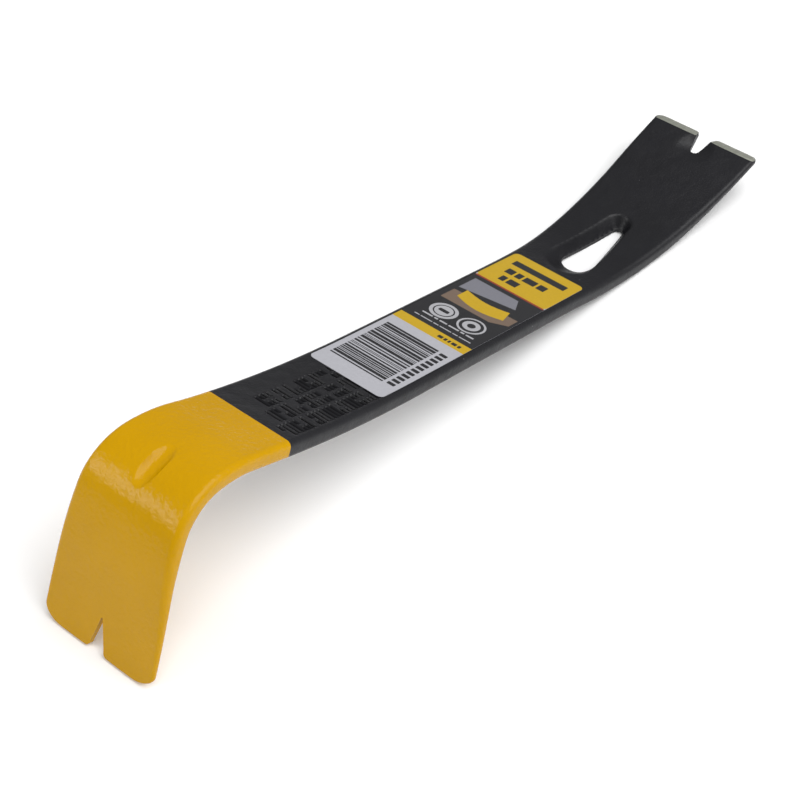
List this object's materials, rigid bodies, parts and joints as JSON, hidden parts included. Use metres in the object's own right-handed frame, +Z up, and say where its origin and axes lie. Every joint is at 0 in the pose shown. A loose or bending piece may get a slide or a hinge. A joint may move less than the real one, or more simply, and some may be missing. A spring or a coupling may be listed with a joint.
{
  "type": "flat pry bar",
  "caption": "Flat pry bar in lacquered spring steel with an enamelled, notched hook claw at one end and a bevelled keyhole nail slot and notched straight claw at the other.",
  "frame": {"origin": "on the bench that the bar rests on, under the middle of its length and width", "axes": "+X along the bar from the hook claw to the straight claw, +Y across the width, +Z up from the bench"},
  "size_m": [0.3288, 0.0456, 0.0581],
  "materials": {
    "spring_steel": "ground bare steel, seen only on the claw's bevel",
    "black_lacquer": "satin black lacquer over forged steel",
    "yellow_enamel": "thick gloss yellow enamel, dipped, with a slight orange peel",
    "label_film": "printed film label, semi-gloss"
  },
  "bodies": {
    "root": {"steel_bar": "spring_steel", "black_lacquer": "black_lacquer", "yellow_enamel": "yellow_enamel", "label": "label_film"}
  },
  "joints": []
}
